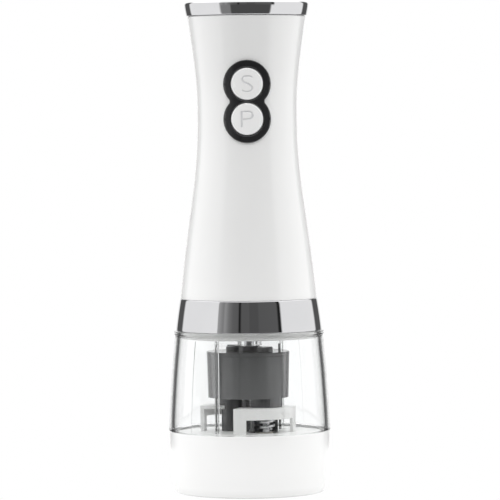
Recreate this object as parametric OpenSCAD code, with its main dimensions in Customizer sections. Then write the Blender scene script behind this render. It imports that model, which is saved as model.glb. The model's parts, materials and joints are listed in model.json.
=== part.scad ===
// Electric salt and pepper mill, two grinders under one handle.
// Millimetres. +Z is up, the origin is the centre of the resting face, and the buttons face -Y.

/* [Body outline] */
// Height of the whole mill
mill_h = 220; // [219:1:224]
// Widest radius, where the container meets the dust cap
base_r = 36.4; // [36.2:0.1:37]
// Wall of the handle shell
shell_wall = 2.2; // [1.8:0.1:2.4]
// Wall of the clear container
clear_wall = 2.2; // [1.8:0.1:2.4]
// Wall of the dust cap
cap_wall = 2; // [1.6:0.1:2.2]

/* [Buttons] */
// Height of the salt button's centre
salt_button_z = 183.3; // [182:0.1:185]
// Height of the pepper button's centre
pepper_button_z = 167.7; // [166:0.1:168]
// Radius of a button cap
button_r = 7.2; // [6.8:0.1:7.2]
// Outer radius of each lobe of the black surround
surround_r = 10.6; // [10:0.1:11]
// How far a button is pressed in
button_travel = 1; // [0.6:0.1:1]

/* [Grinders] */
// Distance from the mill's axis to each grinder's axis, set by the splitter gears
grinder_offset = 10.4; // [10.4:0.1:10.4]
// Turn of the pepper grinder from straight ahead, towards +X
mill_turn = 42; // [38:1:46]
// Outer radius of the feed hoods' walls, about the mill's axis
hood_r = 20.9; // [20:0.1:22]
// Half of the arc that a feed hood covers
hood_arc = 52; // [46:1:54]

/* [Planetary gears] */
// Tooth size of the planetary stages
planet_module = 0.5; // [0.5:0.1:0.5]
// Teeth of each sun
sun_teeth = 12; // [12:3:12]
// Teeth of each planet
planet_teeth = 15; // [15:3:15]

/* [Splitter gears] */
// Tooth size of the splitter gears
splitter_module = 0.65; // [0.65:0.05:0.65]
// Teeth of the centre gear
centre_teeth = 16; // [16:1:16]
// Teeth of each output gear
output_teeth = 16; // [16:1:16]

/* [Hidden] */
$fn = 96;

// Heights of the joints between the visible parts
cap_top_z = 27.9;
floor_z = 27;
container_z = 28;
flange_z = 70;
container_top_z = 72.7;
handle_z = 72.9;
band_top_z = 87.3;
shell_top_z = 213.8;

// Outlines, each [height, radius]; a spline runs through the points
cap_line = [[3, 34.55], [10, 35.5], [19, base_r - 0.25], [cap_top_z, base_r]];
container_line = [[container_z, base_r], [40, base_r - 0.6], [55, base_r - 1.6], [flange_z, base_r - 3]];
neck_line = [
  [band_top_z, 30.9], [104, 29.05], [122, 26.65], [140, 24.2], [155, 22.85],
  [169, 22.45], [183, 22.85], [198, 24.45], [shell_top_z, 26.65]
];

// A point on the spline through four points, at t from 0 to 1
function spline_point(a, b, c, d, t) =
  0.5 * (2 * b + (c - a) * t + (2 * a - 5 * b + 4 * c - d) * t * t + (3 * b - a - 3 * c + d) * t * t * t);

// The spline through a list of points, with steps spans between two of them
function spline(points, steps) =
  let (last = len(points) - 1)
  [
    for (i = [0 : last - 1], s = [0 : steps - 1])
      spline_point(
        i == 0 ? 2 * points[0] - points[1] : points[i - 1], points[i], points[i + 1],
        i == last - 1 ? 2 * points[last] - points[last - 1] : points[i + 2], s / steps
      ),
    points[last]
  ];

// An outline as [radius, height] points, pushed outwards by out, rising or falling
function outline(line, out, steps = 4) = [for (p = spline(line, steps)) [p.y + out, p.x]];
function reversed(list) = [for (i = [len(list) - 1 : -1 : 0]) list[i]];

// Radius of an outline at a height
function radius_at(line, z) = lookup(z, spline(line, 4));

// A turned wall between an outer and an inner outline
module turned_wall(outer, inner) {
  rotate_extrude() polygon(concat(outer, reversed(inner)));
}

// A tube of radius r swept along a path of points, its ends closed
module swept_rod(path, r, sides = 8) {
  last = len(path) - 1;
  function ahead(i) = let (d = path[min(i + 1, last)] - path[max(i - 1, 0)]) d / norm(d);
  function across(i) = let (d = ahead(i), s = cross(d, abs(d.z) < 0.9 ? [0, 0, 1] : [1, 0, 0])) s / norm(s);
  rings = [
    for (i = [0 : last], k = [0 : sides - 1])
      let (u = across(i), v = cross(ahead(i), u), a = 360 * k / sides)
        path[i] + r * (cos(a) * u + sin(a) * v)
  ];
  sides_faces = [
    for (i = [0 : last - 1], k = [0 : sides - 1])
      let (a = i * sides + k, b = i * sides + (k + 1) % sides)
        each [[a, b + sides, b], [a, a + sides, b + sides]]
  ];
  polyhedron(
    points = rings,
    faces = concat(
      sides_faces, [[for (k = [0 : sides - 1]) k]], [[for (k = [sides - 1 : -1 : 0]) last * sides + k]]
    )
  );
}

// A coil around the Z axis; the end radius makes it a cone
module coil(r1, r2, z1, z2, turns, wire_r, per_turn = 16) {
  steps = turns * per_turn;
  swept_rod([
    for (i = [0 : steps])
      let (t = i / steps, a = 360 * i / per_turn, r = r1 + (r2 - r1) * t)
        [r * cos(a), r * sin(a), z1 + (z2 - z1) * t]
  ], wire_r, 6);
}

// A pie slice, half_arc either side of -Y
module slice(half_arc, reach, z1, z2, turn = 0) {
  step = half_arc / 8;
  translate([0, 0, z1]) linear_extrude(z2 - z1) polygon(concat(
    [[0, 0]],
    [for (i = [-8 : 8]) reach * [sin(turn + i * step), -cos(turn + i * step)]]
  ));
}

// Gear teeth

pressure_angle = 25;
addendum = 0.8;
dedendum = 1.1;
backlash = 0.05;

function involute(a) = tan(a) - a * PI / 180;

// Half the angle that a tooth fills at radius r
function tooth_half_angle(r, teeth, m, thin) =
  let (pitch_r = m * teeth / 2, a = acos(min(1, pitch_r * cos(pressure_angle) / r)))
    90 / teeth + ((involute(pressure_angle) - involute(a)) - thin / pitch_r) * 180 / PI;

// The outline of a gear with a tooth on +X. A negative thin makes the cutter of a ring gear.
module gear_outline(teeth, m, tip, root, thin) {
  pitch_r = m * teeth / 2;
  root_r = pitch_r - root * m;
  tip_r = pitch_r + tip * m;
  start_r = max(root_r, pitch_r * cos(pressure_angle) + 0.01);
  flank = concat(start_r > root_r ? [root_r] : [], [start_r, pitch_r, tip_r]);
  function half(r) = tooth_half_angle(max(r, start_r), teeth, m, thin);
  polygon([
    for (t = [0 : teeth - 1])
      each concat(
        [for (r = flank) let (a = 360 * t / teeth - half(r)) r * [cos(a), sin(a)]],
        [for (r = reversed(flank)) let (a = 360 * t / teeth + half(r)) r * [cos(a), sin(a)]]
      )
  ]);
}

// A gear between two heights, turned so that a tooth points to turn. Its bore goes on through its children.
module spur_gear(teeth, m, z1, z2, bore_r, turn = 0) {
  difference() {
    union() {
      rotate([0, 0, turn]) translate([0, 0, z1]) linear_extrude(z2 - z1)
        gear_outline(teeth, m, addendum, dedendum, backlash);
      children();
    }
    translate([0, 0, z1 - 20]) cylinder(h = z2 - z1 + 40, r = bore_r, $fn = 48);
  }
}

// The turn that puts a gear in mesh with a centre gear that has a tooth on +X, seen from it at angle
function mesh_turn(centre, other, angle) = (centre * angle + other * (angle + 180) - 180) / other;

// Fasteners

// A pan-head screw pointing up from z, with a cross recess under its head
module screw_up(x, y, z, r, length, head_r, head_h) {
  translate([x, y, z]) difference() {
    union() {
      cylinder(h = head_h, r = head_r, $fn = 32);
      cylinder(h = head_h + length, r = r, $fn = 32);
    }
    for (turn = [0, 90]) rotate([0, 0, turn])
      translate([-head_r * 0.6, -0.25, -1]) cube([head_r * 1.2, 0.5, 1 + head_h * 0.6]);
  }
}

module screw_down(x, y, z, r, length, head_r, head_h) {
  translate([x, y, z]) rotate([180, 0, 0]) screw_up(0, 0, 0, r, length, head_r, head_h);
}

// Base and container

// Turns a grinder's side of the mill, drawn with outwards along -Y, to its place
module at_side(side) {
  rotate([0, 0, mill_turn + (side == "salt" ? 180 : 0)]) children();
}

// The parts of one grinder stand at the origin and are moved here
module at_grinder(side) {
  at_side(side) translate([0, -grinder_offset, 0]) children();
}

module at_both_grinders() {
  for (side = ["salt", "pepper"]) at_grinder(side) children();
}

module dust_cap() {
  foot_r = 32.6;
  floor_t = 2;
  color("white") turned_wall(
    concat(
      [[0, 0.6], [foot_r - 3, 0.6], [foot_r - 2, 0]],
      [[foot_r, 0], [foot_r + 1.2, 0.6], [foot_r + 1.75, 1.6]],
      outline(cap_line, 0, 6)
    ),
    concat(
      [[0, floor_t], [foot_r - 2, floor_t], [foot_r - 0.6, floor_t + 0.8]],
      outline(cap_line, -cap_wall, 6)
    )
  );
}

skirt_r = 32.2;
socket_r = 9.8;
socket_bore_r = 8.2;
socket_z = 11.5;
throat_r = 6.4;

module grinder_base() {
  floor_t = 2.4;
  flange_r = 33.5;
  flange_t = 1.9;
  skirt_z = 20;
  skirt_t = 2;
  color("white") difference() {
    union() {
      rotate_extrude() polygon([
        [0, floor_z - floor_t], [skirt_r - skirt_t, floor_z - floor_t], [skirt_r - skirt_t, skirt_z],
        [flange_r, skirt_z], [flange_r, skirt_z + flange_t], [skirt_r, skirt_z + flange_t],
        [skirt_r, floor_z], [0, floor_z]
      ]);
      at_both_grinders() translate([0, 0, socket_z]) cylinder(h = floor_z - socket_z - 0.1, r = socket_r);
      rotate([0, 0, mill_turn]) translate([0, 0, socket_z])
        cylinder(h = floor_z - socket_z - 0.1, r = 4, $fn = 48);
    }
    at_both_grinders() {
      translate([0, 0, socket_z - 1]) cylinder(h = floor_z - floor_t - socket_z + 1, r = socket_bore_r);
      translate([0, 0, floor_z - floor_t - 1]) cylinder(h = 5, r = throat_r);
    }
    translate([0, 0, socket_z - 1]) cylinder(h = 20, r = 1.5, $fn = 32);
  }
}

module container() {
  spigot_z = 22;
  spigot_r = 34.15;
  flange_r = base_r - 3;
  mouth_r = 30.5;
  color([0.9, 0.93, 0.95, 0.3]) turned_wall(
    concat([[spigot_r - 0.25, spigot_z], [spigot_r, spigot_z + 0.6], [spigot_r, container_z]],
      outline(container_line, 0),
      [[flange_r + 0.25, flange_z + 0.3], [flange_r + 0.25, container_top_z - 0.4]],
      [[flange_r - 0.1, container_top_z]]),
    concat([[32.4, spigot_z], [32.4, container_z - 0.6]], outline(container_line, -clear_wall),
      [[mouth_r, flange_z + 0.4], [mouth_r, container_top_z]])
  );
}

wing_in_x = 18.9;
wing_t = 1.6;
tube_r = 5.75;
tube_top_z = 69;

module partition() {
  tube_z = 65.7;
  bridge_z = 65.9;
  post_r = 1.15;
  gap = 0.12;
  inner = [for (p = outline(container_line, -clear_wall - gap)) if (p.y < tube_top_z) p];
  wing = concat([[wing_in_x, floor_z + 0.05], [skirt_r, floor_z + 0.05], [skirt_r, container_z]], inner,
    [[31.1, tube_top_z], [wing_in_x, tube_top_z]]);
  color([0.9, 0.93, 0.95, 0.3]) rotate([0, 0, mill_turn]) difference() {
    union() {
      for (side = [0, 180]) rotate([0, 0, side]) {
        rotate([90, 0, 0]) translate([0, 0, -wing_t / 2]) linear_extrude(wing_t) polygon(wing);
        translate([wing_in_x + 0.6, 0, floor_z + 0.05])
          cylinder(h = tube_top_z - floor_z - 0.05, r = post_r, $fn = 32);
      }
      translate([-wing_in_x - 0.5, -wing_t / 2, bridge_z])
        cube([2 * wing_in_x + 1, wing_t, tube_top_z - bridge_z]);
      translate([0, 0, tube_z]) cylinder(h = tube_top_z - tube_z, r = tube_r, $fn = 64);
    }
    translate([0, 0, tube_z - 1]) cylinder(h = 10, r = tube_r - 1.1, $fn = 64);
  }
}

module base_screw() {
  color("silver") screw_up(0, 0, socket_z - 1.65, 1.4, 20, 2.9, 1.6);
}

// Splitter gearbox

case_z = 42.8;
case_top_z = 61.7;
lid_top_z = 63.4;
case_r = 17.65;
case_bore_r = 16.75;
output_tube_r = 7.65;
hood_top_z = 38.8;
gear_z = 56.4;
gear_top_z = 60;
shaft_foot_z = 54.4;

module splitter_case() {
  floor_t = 1.6;
  color([0.12, 0.12, 0.13]) difference() {
    union() {
      translate([0, 0, case_z]) cylinder(h = case_top_z - case_z, r1 = case_r, r2 = case_r + 0.45);
      at_both_grinders() {
        translate([0, 0, hood_top_z]) cylinder(h = case_z - hood_top_z + 0.5, r = output_tube_r);
        difference() {
          translate([0, 0, floor_z + 0.05]) cylinder(h = case_z - floor_z, r = output_tube_r);
          translate([-10, -20, floor_z - 1]) cube([20, 20, hood_top_z - floor_z + 1]);
        }
      }
      translate([0, 0, floor_z + 0.05]) cylinder(h = case_z - floor_z, r = 3.8, $fn = 48);
    }
    difference() {
      translate([0, 0, case_z + floor_t]) cylinder(h = 30, r = case_bore_r);
      translate([0, 0, case_z]) cylinder(h = shaft_foot_z - 0.2 - case_z, r = 2.4, $fn = 48);
    }
    at_both_grinders() {
      translate([0, 0, floor_z - 1]) cylinder(h = case_z - floor_z - 1.5, r = output_tube_r - 1.25);
      translate([0, 0, floor_z]) cylinder(h = 30, r = 2.1, $fn = 48);
    }
    translate([0, 0, floor_z - 1]) cylinder(h = 8, r = 1.42, $fn = 32);
    translate([0, 0, shaft_foot_z - 3]) cylinder(h = 10, r = 1.05, $fn = 32);
  }
}

module splitter_lid() {
  boss_r = 3.55;
  color([0.1, 0.1, 0.11]) difference() {
    union() {
      translate([0, 0, case_top_z + 0.02]) cylinder(h = lid_top_z - case_top_z, r = case_r + 0.5);
      translate([0, 0, case_top_z - 1.4]) cylinder(h = 2, r = case_bore_r - 0.1);
      at_both_grinders() translate([0, 0, lid_top_z - 1]) cylinder(h = 3.2, r = boss_r, $fn = 48);
      translate([0, 0, lid_top_z - 1]) cylinder(h = 3.1, r = 4.85, $fn = 48);
    }
    at_both_grinders() translate([0, 0, case_top_z - 3]) cylinder(h = 5.4, r = 2.1, $fn = 48);
    translate([0, 0, case_top_z - 3]) cylinder(h = 10, r = coupling_r + 0.1, $fn = 48);
  }
}

coupling_r = 3.2;
coupling_z = 60.2;
coupling_top_z = 65.4;
bit_z = 62.8;
bit_top_z = 69;
bit_across = 4;

// A hexagonal prism by its width across the flats
module hexagon(across, z1, z2) {
  translate([0, 0, z1]) cylinder(h = z2 - z1, r = across / sqrt(3), $fn = 6);
}

module drive_shaft() {
  color("white") difference() {
    union() {
      translate([0, 0, shaft_foot_z - 2.8]) cylinder(h = 4, r = 1, $fn = 32);
      translate([0, 0, shaft_foot_z]) cylinder(h = coupling_z - shaft_foot_z + 1, r = 2.5, $fn = 48);
      translate([0, 0, coupling_z]) cylinder(h = coupling_top_z - coupling_z, r = coupling_r, $fn = 48);
    }
    hexagon(bit_across + 0.3, bit_z - 0.3, coupling_top_z + 1);
  }
}

module centre_gear() {
  color("ivory") spur_gear(centre_teeth, splitter_module, gear_z, gear_top_z, 2.52, mill_turn);
}

module output_gear(side) {
  // The centre gear has a tooth along the partition, a right angle from each grinder
  turn = mesh_turn(centre_teeth, output_teeth, -90);
  // and half a turn moves its even number of teeth onto itself, so both sides mesh alike
  color("ivory") at_grinder(side)
    spur_gear(output_teeth, splitter_module, gear_z, gear_top_z, spindle_r + 0.02, turn)
      translate([0, 0, 45]) cylinder(h = gear_z - 45 + 0.5, r1 = 4.1, r2 = 4.7, $fn = 64);
}

// Grinders

spindle_r = 2;
burr_z = 13.5;
burr_top_z = 24.5;

module spindle(side) {
  collar_z = 37.4;
  color("silver") at_grinder(side) {
    translate([0, 0, 7]) cylinder(h = 56.6, r = spindle_r, $fn = 48);
    translate([0, 0, collar_z]) cylinder(h = 1.2, r = 4.4, $fn = 48);
  }
}

module feed_spring(side) {
  color("silver") at_grinder(side) coil(3.7, 3.7, 28, 36.6, 3.5, 0.62);
}

module feed_hood(side) {
  wall = 1.6;
  window_top_z = 33.7;
  window_arc = 36;
  // The hood's middle lies this far round from its grinder
  hood_turn = -10.3;
  color("white") at_side(side) difference() {
    intersection() {
      difference() {
        translate([0, 0, floor_z + 0.05]) cylinder(h = hood_top_z - floor_z - 0.05, r = hood_r);
        translate([0, 0, floor_z - 1]) cylinder(h = hood_top_z - wall - floor_z + 1, r = hood_r - wall);
        translate([0, 0, floor_z]) cylinder(h = 20, r = grinder_offset - 0.4);
      }
      slice(hood_arc, 30, floor_z - 1, hood_top_z + 1, hood_turn);
    }
    translate([0, -grinder_offset, floor_z]) cylinder(h = 20, r = output_tube_r + 0.12);
    slice(window_arc, 30, floor_z - 2, window_top_z, hood_turn);
  }
}

module burr_ring(side) {
  grooves = 16;
  color([0.93, 0.92, 0.88]) at_grinder(side) difference() {
    rotate_extrude() polygon([
      [socket_bore_r - 0.1, burr_z], [socket_bore_r - 0.1, burr_top_z],
      [7.3, burr_top_z], [6.2, 18], [6.8, burr_z]
    ]);
    for (i = [0 : grooves - 1]) rotate([0, 0, i * 360 / grooves])
      translate([5.6, -0.35, burr_z - 1]) rotate([8, 0, 0]) cube([1.65, 0.7, 16]);
  }
}

module burr_cone(side) {
  grooves = 12;
  color([0.9, 0.89, 0.85]) at_grinder(side) difference() {
    rotate_extrude() polygon([
      [2.03, burr_z + 0.2], [5.9, burr_z + 0.2], [5.4, 18],
      [3.9, 23.5], [3.4, 24.5], [3.4, 27.2], [2.03, 27.2]
    ]);
    for (i = [0 : grooves - 1]) rotate([0, 0, i * 360 / grooves])
      translate([4.4, -0.4, burr_z - 1]) rotate([-14, 0, 0]) cube([3, 0.8, 12]);
  }
}

module adjust_knob(side) {
  knob_z = 6.7;
  grips = 10;
  color([0.75, 0.75, 0.76]) at_grinder(side) difference() {
    union() {
      translate([0, 0, knob_z]) cylinder(h = 4.2, r = 6);
      translate([0, 0, knob_z + 4.2]) cylinder(h = 2.6, r = 3.4);
    }
    translate([0, 0, knob_z - 1]) cylinder(h = 12, r = 2.05, $fn = 48);
    translate([0, 0, knob_z - 1]) cylinder(h = 1.5, r = 3.8, $fn = 48);
    for (i = [0 : grips - 1]) rotate([0, 0, i * 360 / grips])
      translate([6.6, 0, knob_z - 1]) cylinder(h = 4.4, r = 1.1, $fn = 24);
  }
}

// Handle

ledge_z = 204.4;
opening_r = 9.4;
floor_boss_r = 3;
floor_boss_x = 24.6;
floor_boss_turns = [30, 150, 270];

// The shell's skirt runs down inside the chrome band
band_line = [[handle_z, 32.95], [band_top_z, 30.9]];
band_wall = 0.9;

// Two round prisms along Y, the shape of the surround
module lobes(r, y1, y2) {
  for (z = [salt_button_z, pepper_button_z])
    translate([0, y2, z]) rotate([90, 0, 0]) cylinder(h = y2 - y1, r = r);
}

// The solid inside the neck's surface, pushed out by out
module neck_core(out) {
  rotate_extrude() polygon(concat([[0, 150]],
    [for (p = outline(neck_line, out)) if (p.y > 148 && p.y < 203) p], [[0, 200]]));
}

module handle_shell() {
  skirt = [for (p = band_line) [p.y - band_wall - 0.05, p.x]];
  skirt_in = [for (p = band_line) [p.y - band_wall - 1.35, p.x]];
  neck_in = [for (p = outline(neck_line, -shell_wall)) if (p.y > band_top_z + 1) p];
  color("white") difference() {
    union() {
      turned_wall(
        concat([skirt[0], skirt[1] - [0, 0]], outline(neck_line, 0)),
        concat([skirt_in[0], [skirt_in[1].x, band_top_z - 1]], neck_in)
      );
      difference() {
        translate([0, 0, ledge_z - 2]) cylinder(h = 2, r = radius_at(neck_line, ledge_z - 2) - 1);
        translate([0, 0, ledge_z - 3]) cylinder(h = 4, r = 21.4);
      }
      for (turn = floor_boss_turns) rotate([0, 0, turn]) {
        translate([floor_boss_x, 0, 76]) cylinder(h = 12, r = floor_boss_r, $fn = 48);
        translate([floor_boss_x, -1, 77]) cube([4.6, 2, 11]);
      }
    }
    lobes(opening_r, -40, -10);
    for (turn = floor_boss_turns) rotate([0, 0, turn])
      translate([floor_boss_x, 0, 75]) cylinder(h = 11.5, r = 1.32, $fn = 32);
  }
}

module handle_band() {
  color([0.8, 0.8, 0.82]) turned_wall(
    [for (p = band_line) [p.y, p.x]],
    [for (p = band_line) [p.y - band_wall, p.x]]
  );
}

nose_r = 5.2;
nose_z = 70.7;
case_screw_x = 16.6;
case_screw_turns = [0, 120, 240];

module handle_floor() {
  plate_r = 30;
  spigot_z = 69.6;
  color("white") difference() {
    union() {
      translate([0, 0, handle_z]) cylinder(h = 3, r = plate_r);
      difference() {
        translate([0, 0, spigot_z]) cylinder(h = handle_z - spigot_z + 0.5, r = plate_r);
        translate([0, 0, spigot_z - 1]) cylinder(h = 8, r = plate_r - 1.6);
      }
      for (turn = case_screw_turns) rotate([0, 0, turn])
        translate([case_screw_x, 0, 70.4]) cylinder(h = 3, r = 2.6, $fn = 48);
    }
    translate([0, 0, handle_z - 5]) cylinder(h = 12, r = nose_r + 0.15);
    for (turn = floor_boss_turns) rotate([0, 0, turn]) translate([floor_boss_x, 0, 0]) {
      translate([0, 0, handle_z - 1]) cylinder(h = 6, r = 1.5, $fn = 32);
      translate([0, 0, handle_z - 1]) cylinder(h = 2.4, r = 2.8, $fn = 48);
    }
    for (turn = case_screw_turns) rotate([0, 0, turn])
      translate([case_screw_x, 0, 71.2]) cylinder(h = 8, r = 1.12, $fn = 32);
  }
}

module floor_screws() {
  color("silver") for (turn = floor_boss_turns) rotate([0, 0, turn])
    screw_up(floor_boss_x, 0, handle_z + 0.1, 1.3, 10.5, 2.6, 1.3);
}

// Planetary gearbox

case_floor_z = handle_z + 3;
gear_case_top_z = 96;
ring_teeth = sun_teeth + 2 * planet_teeth;
planet_x = planet_module * (sun_teeth + planet_teeth) / 2;
low_z = 80.4;
high_z = 88.6;
planet_t = 4.6;
pin_r = 1;
shaft_r = 2.5;

module gear_case() {
  case_out_r = 13.2;
  ear_t = 2;
  color([0.2, 0.2, 0.22]) difference() {
    union() {
      translate([0, 0, case_floor_z]) cylinder(h = gear_case_top_z - case_floor_z, r = case_out_r);
      translate([0, 0, nose_z]) cylinder(h = case_floor_z - nose_z + 1, r = nose_r);
      for (turn = case_screw_turns) rotate([0, 0, turn]) {
        translate([case_screw_x, 0, case_floor_z]) cylinder(h = ear_t, r = 2.8, $fn = 48);
        translate([12, -2.8, case_floor_z]) cube([case_screw_x - 12, 5.6, ear_t]);
      }
    }
    translate([0, 0, case_floor_z + 1.6]) linear_extrude(30)
      gear_outline(ring_teeth, planet_module, dedendum, addendum - 0.05, -backlash);
    translate([0, 0, nose_z + 0.8]) cylinder(h = 10, r = 4, $fn = 48);
    translate([0, 0, nose_z - 1]) cylinder(h = 10, r = shaft_r + 0.35, $fn = 48);
    for (turn = case_screw_turns) rotate([0, 0, turn])
      translate([case_screw_x, 0, 70]) cylinder(h = 10, r = 1.3, $fn = 32);
  }
}

module gear_case_screws() {
  color("silver") for (turn = case_screw_turns) rotate([0, 0, turn])
    screw_down(case_screw_x, 0, case_floor_z + 3.3, 1.1, 5.6, 2.1, 1.2);
}

module output_bush() {
  color([0.85, 0.68, 0.32]) difference() {
    translate([0, 0, nose_z + 0.85]) cylinder(h = 5.8, r = 3.97, $fn = 48);
    translate([0, 0, nose_z]) cylinder(h = 12, r = shaft_r + 0.03, $fn = 48);
  }
}

// A carrier disc with three pins standing up from it
module carrier_disc(planet_z) {
  translate([0, 0, planet_z - 1.9]) cylinder(h = 1.7, r = 8.6);
  for (turn = [0, 120, 240]) rotate([0, 0, turn])
    translate([planet_x, 0, planet_z - 1]) cylinder(h = planet_t + 1.2, r = pin_r, $fn = 32);
}

module output_carrier() {
  color([0.55, 0.55, 0.58]) {
    carrier_disc(low_z);
    translate([0, 0, bit_top_z]) cylinder(h = low_z - bit_top_z - 0.5, r = shaft_r, $fn = 48);
  }
}

module drive_bit() {
  color([0.8, 0.8, 0.82]) hexagon(bit_across, bit_z, bit_top_z);
}

module middle_carrier() {
  color([0.85, 0.83, 0.76]) {
    carrier_disc(high_z);
    spur_gear(sun_teeth, planet_module, low_z + 0.1, high_z - 1, 0.4);
  }
}

// One planet of a stage, at its place on the carrier
module planet(index, z) {
  turn = 120 * (index - 1);
  color([0.85, 0.83, 0.76]) rotate([0, 0, turn]) translate([planet_x, 0, 0])
    rotate([0, 0, mesh_turn(sun_teeth, planet_teeth, turn) - turn])
      spur_gear(planet_teeth, planet_module, z, z + planet_t, pin_r + 0.05);
}

// Motor

motor_z = 97.6;
motor_h = 30.8;
motor_r = 12.2;

module motor_pinion() {
  color([0.85, 0.68, 0.32]) spur_gear(sun_teeth, planet_module, high_z + 0.2, 94.4, 1.02);
}

module motor_shaft() {
  color("silver") translate([0, 0, high_z + 0.4]) cylinder(h = 42.6, r = 1, $fn = 32);
}

module motor_plate() {
  color([0.7, 0.7, 0.72]) difference() {
    translate([0, 0, gear_case_top_z]) cylinder(h = motor_z - gear_case_top_z, r = 13.2);
    translate([0, 0, 90]) cylinder(h = 20, r = 3.2, $fn = 48);
    for (x = [-8, 8]) translate([x, 0, 90]) cylinder(h = 20, r = 1.25, $fn = 32);
  }
}

module motor_screws() {
  color("silver") for (x = [-8, 8]) screw_up(x, 0, gear_case_top_z - 1.15, 1.1, 4.6, 2, 1.1);
}

module motor_can() {
  color([0.72, 0.72, 0.74]) difference() {
    union() {
      translate([0, 0, motor_z + 0.02]) cylinder(h = motor_h, r = motor_r);
      translate([0, 0, gear_case_top_z]) cylinder(h = 3, r = 3.1, $fn = 48);
    }
    translate([0, 0, 90]) cylinder(h = 60, r = 1.1, $fn = 32);
    for (x = [-8, 8]) translate([x, 0, 96]) cylinder(h = 6.5, r = 1.12, $fn = 32);
    for (side = [-1, 1]) translate([-15, side * 14.2 - 3, motor_z + 4]) cube([30, 6, 22]);
  }
}

module motor_end_cap() {
  z = motor_z + motor_h + 0.05;
  color([0.13, 0.13, 0.14]) difference() {
    union() {
      translate([0, 0, z]) cylinder(h = 2.6, r = 11.4);
      translate([0, 0, z]) cylinder(h = 4.4, r = 4, $fn = 48);
      for (x = [-6.5, 6.5]) translate([x - 0.25, -1.2, z]) cube([0.5, 2.4, 6]);
    }
    translate([0, 0, z - 1]) cylinder(h = 4.2, r = 1.1, $fn = 32);
  }
}

module motor_leads() {
  top = motor_z + motor_h + 6.3;
  color([0.75, 0.1, 0.1]) for (x = [-1, 1])
    swept_rod(spline([
      [x * 6.5, 0, top], [x * 6.3, -0.6, 139], [x * 5, -6, 144],
      [x * 4, -12.4, 148.5], [x * 3.6, -12.8, 153.9]
    ], 4), 0.6);
}

// Batteries

cage_y = 3.2;
cage_z = 150;
cell_pitch = 5.75;
cell_z = 158;
cell_top_z = 202.5;
cage_top_z = 206.4;
// Corners of the square of cells, and whether the cell there stands nub up
cell_places = [[-1, -1, true], [1, -1, false], [1, 1, true], [-1, 1, false]];
board_screw_z = [156, 195.6];

module battery_cage() {
  color([0.16, 0.16, 0.17]) difference() {
    union() {
      translate([0, cage_y, cage_z]) cylinder(h = cage_top_z - cage_z, r = 14.8);
      translate([0, 0, ledge_z + 0.02]) cylinder(h = cage_top_z - ledge_z - 0.02, r = 22.4);
      for (z = board_screw_z) translate([0, -9, z])
        rotate([90, 0, 0]) cylinder(h = 3.15, r = 2.3, $fn = 48);
    }
    for (c = cell_places) translate([c.x * cell_pitch, cage_y + c.y * cell_pitch, cage_z + 2])
      cylinder(h = 60, r = 5.45, $fn = 64);
    translate([0, cage_y, cell_top_z - 0.1]) cylinder(h = 10, r = 13.6);
    for (z = board_screw_z) translate([0, -8.6, z]) rotate([90, 0, 0]) cylinder(h = 6, r = 0.92, $fn = 32);
  }
}

module battery_cells() {
  nub_h = 0.8;
  color([0.25, 0.45, 0.35]) for (c = cell_places)
    translate([c.x * cell_pitch, cage_y + c.y * cell_pitch, 0]) {
    translate([0, 0, c.z ? cell_z : cell_z + nub_h])
      cylinder(h = cell_top_z - cell_z - nub_h, r = 5.25, $fn = 64);
    translate([0, 0, c.z ? cell_top_z - nub_h - 0.1 : cell_z]) cylinder(h = nub_h + 0.1, r = 1.9, $fn = 32);
  }
}

module battery_contacts() {
  color([0.8, 0.8, 0.78]) for (c = cell_places)
    translate([c.x * cell_pitch, cage_y + c.y * cell_pitch, 0]) {
    if (c.z) coil(3.6, 1.8, cage_z + 2.5, cell_z - 0.5, 3, 0.35, 14);
    else translate([-2.5, -2.5, cage_z + 2.05]) cube([5, 5, 5.8]);
  }
}

// Buttons and switches

board_y = -13.4;
board_t = 1.2;
// The back of a button and the front of its switch plunger stand this far in front of the mill's axis
button_back_y = -17.2;

module button_surround() {
  color([0.08, 0.08, 0.08]) difference() {
    union() {
      intersection() {
        difference() {
          neck_core(0.9);
          neck_core(0.05);
        }
        lobes(surround_r, -40, -10);
      }
      intersection() {
        difference() {
          neck_core(0.9);
          neck_core(-shell_wall - 0.1);
        }
        lobes(opening_r - 0.1, -40, -10);
      }
    }
    lobes(button_r + 0.2, -50, 0);
  }
}

module button(z) {
  color("white") {
    intersection() {
      neck_core(1.35);
      translate([0, button_back_y, z]) rotate([90, 0, 0]) cylinder(h = 12, r = button_r);
    }
    intersection() {
      neck_core(-shell_wall - 0.4);
      translate([0, button_back_y, z]) rotate([90, 0, 0]) cylinder(h = 5, r = 8.4);
      translate([-10, -30, z - 7.3]) cube([20, 20, 14.6]);
    }
  }
}

module plunger(z) {
  color([0.1, 0.1, 0.1]) translate([0, button_back_y + 2, z]) rotate([90, 0, 0])
    cylinder(h = 1.95, r = 1.5, $fn = 48);
}

module switch_board() {
  color([0.1, 0.4, 0.2]) difference() {
    translate([-8, board_y, 154]) cube([16, board_t, 44]);
    for (z = board_screw_z) translate([0, -10, z]) rotate([90, 0, 0]) cylinder(h = 6, r = 1.05, $fn = 32);
  }
}

module switch_bodies() {
  color([0.2, 0.2, 0.2]) for (z = [salt_button_z, pepper_button_z]) difference() {
    translate([-3, -16, z - 3]) cube([6, 16 + board_y - 0.02, 6]);
    translate([0, -13.9, z]) rotate([90, 0, 0]) cylinder(h = 6, r = 1.65, $fn = 48);
  }
}

module board_screws() {
  color("silver") for (z = board_screw_z) translate([0, board_y - 1.02, z]) rotate([-90, 0, 0])
    screw_up(0, 0, 0, 0.9, 4.4, 1.7, 1);
}

// Battery lid

ring_in_r = 26.1;

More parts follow.
